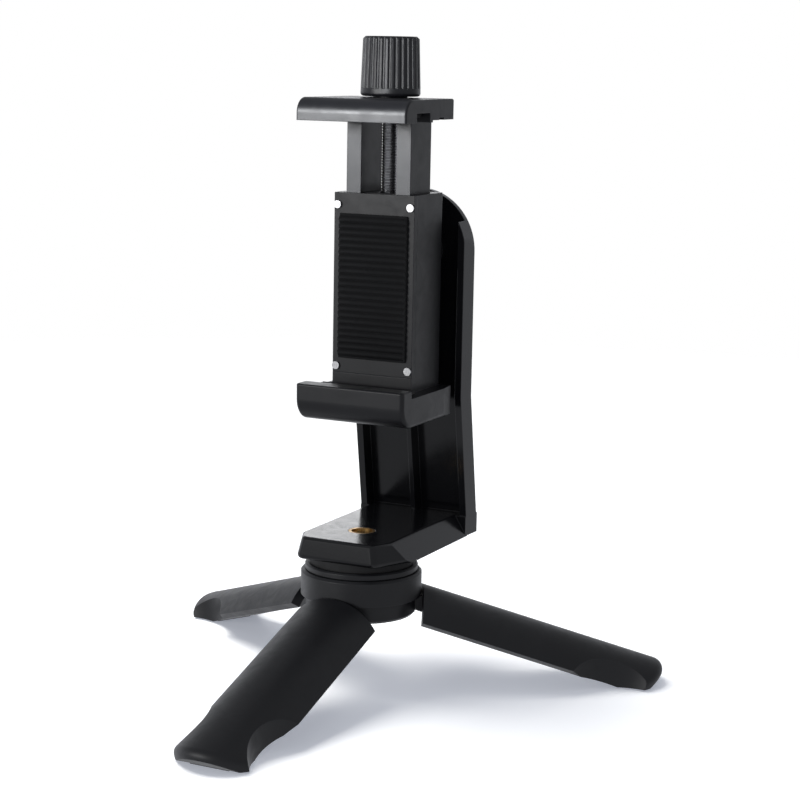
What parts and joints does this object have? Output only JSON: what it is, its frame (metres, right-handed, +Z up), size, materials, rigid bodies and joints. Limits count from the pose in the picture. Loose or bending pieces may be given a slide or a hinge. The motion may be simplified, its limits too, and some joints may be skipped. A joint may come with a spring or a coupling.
{
  "type": "phone tripod mount",
  "caption": "Phone clamp with a screw-driven jaw and fluted knob on a rotating L-bracket, carried by a mini tripod whose legs fold into a handle.",
  "frame": {"origin": "on the floor, under the middle of the bounding box; the tripod axis stands 19.45 mm behind it", "axes": "+Z up, +X to the right along the clamped phone, -Y towards the phone screen and the front leg"},
  "size_m": [0.1612, 0.1432, 0.19],
  "materials": {
    "tripod_plastic": "black moulded plastic, fine grain, low sheen",
    "leg_plastic": "black moulded plastic, satin",
    "bracket_plastic": "black moulded plastic, smooth and semi-gloss",
    "clamp_plastic": "black moulded plastic, satin",
    "knob_plastic": "black moulded plastic, satin",
    "pad_rubber": "black soft rubber, matt",
    "steel": "zinc plated steel",
    "brass": "turned brass"
  },
  "bodies": {
    "tripod_hub": {"hub_drum": "tripod_plastic", "hub_base_cap": "tripod_plastic", "leg_pin_1": "steel", "leg_pin_2": "steel", "leg_pin_3": "steel"},
    "leg_1": {"leg_1": "leg_plastic", "leg_foot_1": "pad_rubber"},
    "leg_2": {"leg_2": "leg_plastic", "leg_foot_2": "pad_rubber"},
    "leg_3": {"leg_3": "leg_plastic", "leg_foot_3": "pad_rubber"},
    "bracket_head": {"swivel_disc": "tripod_plastic", "top_pad": "pad_rubber", "tripod_stud": "steel", "stud_nut": "steel", "stud_washer": "steel", "bracket": "bracket_plastic", "brass_insert": "brass"},
    "clamp": {"clip_body": "clamp_plastic", "clip_cover": "clamp_plastic", "cover_screws": "steel", "clamp_nut": "brass", "lower_pad": "pad_rubber", "back_pad": "pad_rubber", "pivot_bolt": "steel", "pivot_nut": "steel", "pivot_washer": "steel"},
    "jaw": {"upper_jaw": "clamp_plastic", "upper_pad": "pad_rubber"},
    "knob_screw": {"clamp_screw": "steel", "retaining_ring": "steel", "knob_washer": "knob_plastic", "knob": "knob_plastic"}
  },
  "joints": [
    {"name": "leg_1_fold", "type": "hinge", "parent": "tripod_hub", "child": "leg_1", "pos_m": [0.00996, 0.0252, 0.0271], "axis": [-0.5, 0.866, 0], "range_deg": [0, 72]},
    {"name": "leg_2_fold", "type": "hinge", "parent": "tripod_hub", "child": "leg_2", "pos_m": [-0.00996, 0.0252, 0.0271], "axis": [-0.5, -0.866, 0], "range_deg": [0, 72]},
    {"name": "leg_3_fold", "type": "hinge", "parent": "tripod_hub", "child": "leg_3", "pos_m": [0, 0.00795, 0.0271], "axis": [1, 0, 0], "range_deg": [0, 72]},
    {"name": "pan", "type": "hinge", "parent": "tripod_hub", "child": "bracket_head", "pos_m": [0, 0.01945, 0.03515], "axis": [0, 0, 1], "continuous": true},
    {"name": "clamp_roll", "type": "hinge", "parent": "bracket_head", "child": "clamp", "pos_m": [0, 0.04355, 0.127], "axis": [0, 1, 0], "continuous": true},
    {"name": "jaw_slide", "type": "slide", "parent": "clamp", "child": "jaw", "axis": [0, 0, 1], "range_m": [-0.02, 0.009]},
    {"name": "knob_turn", "type": "hinge", "parent": "jaw", "child": "knob_screw", "pos_m": [0, 0.0333, 0.17285], "axis": [0, 0, 1], "range_deg": [-9000, 4050]}
  ],
  "couplings": [
    {"joint": "knob_turn", "follows": "jaw_slide", "rad_per_m": 7854}
  ]
}
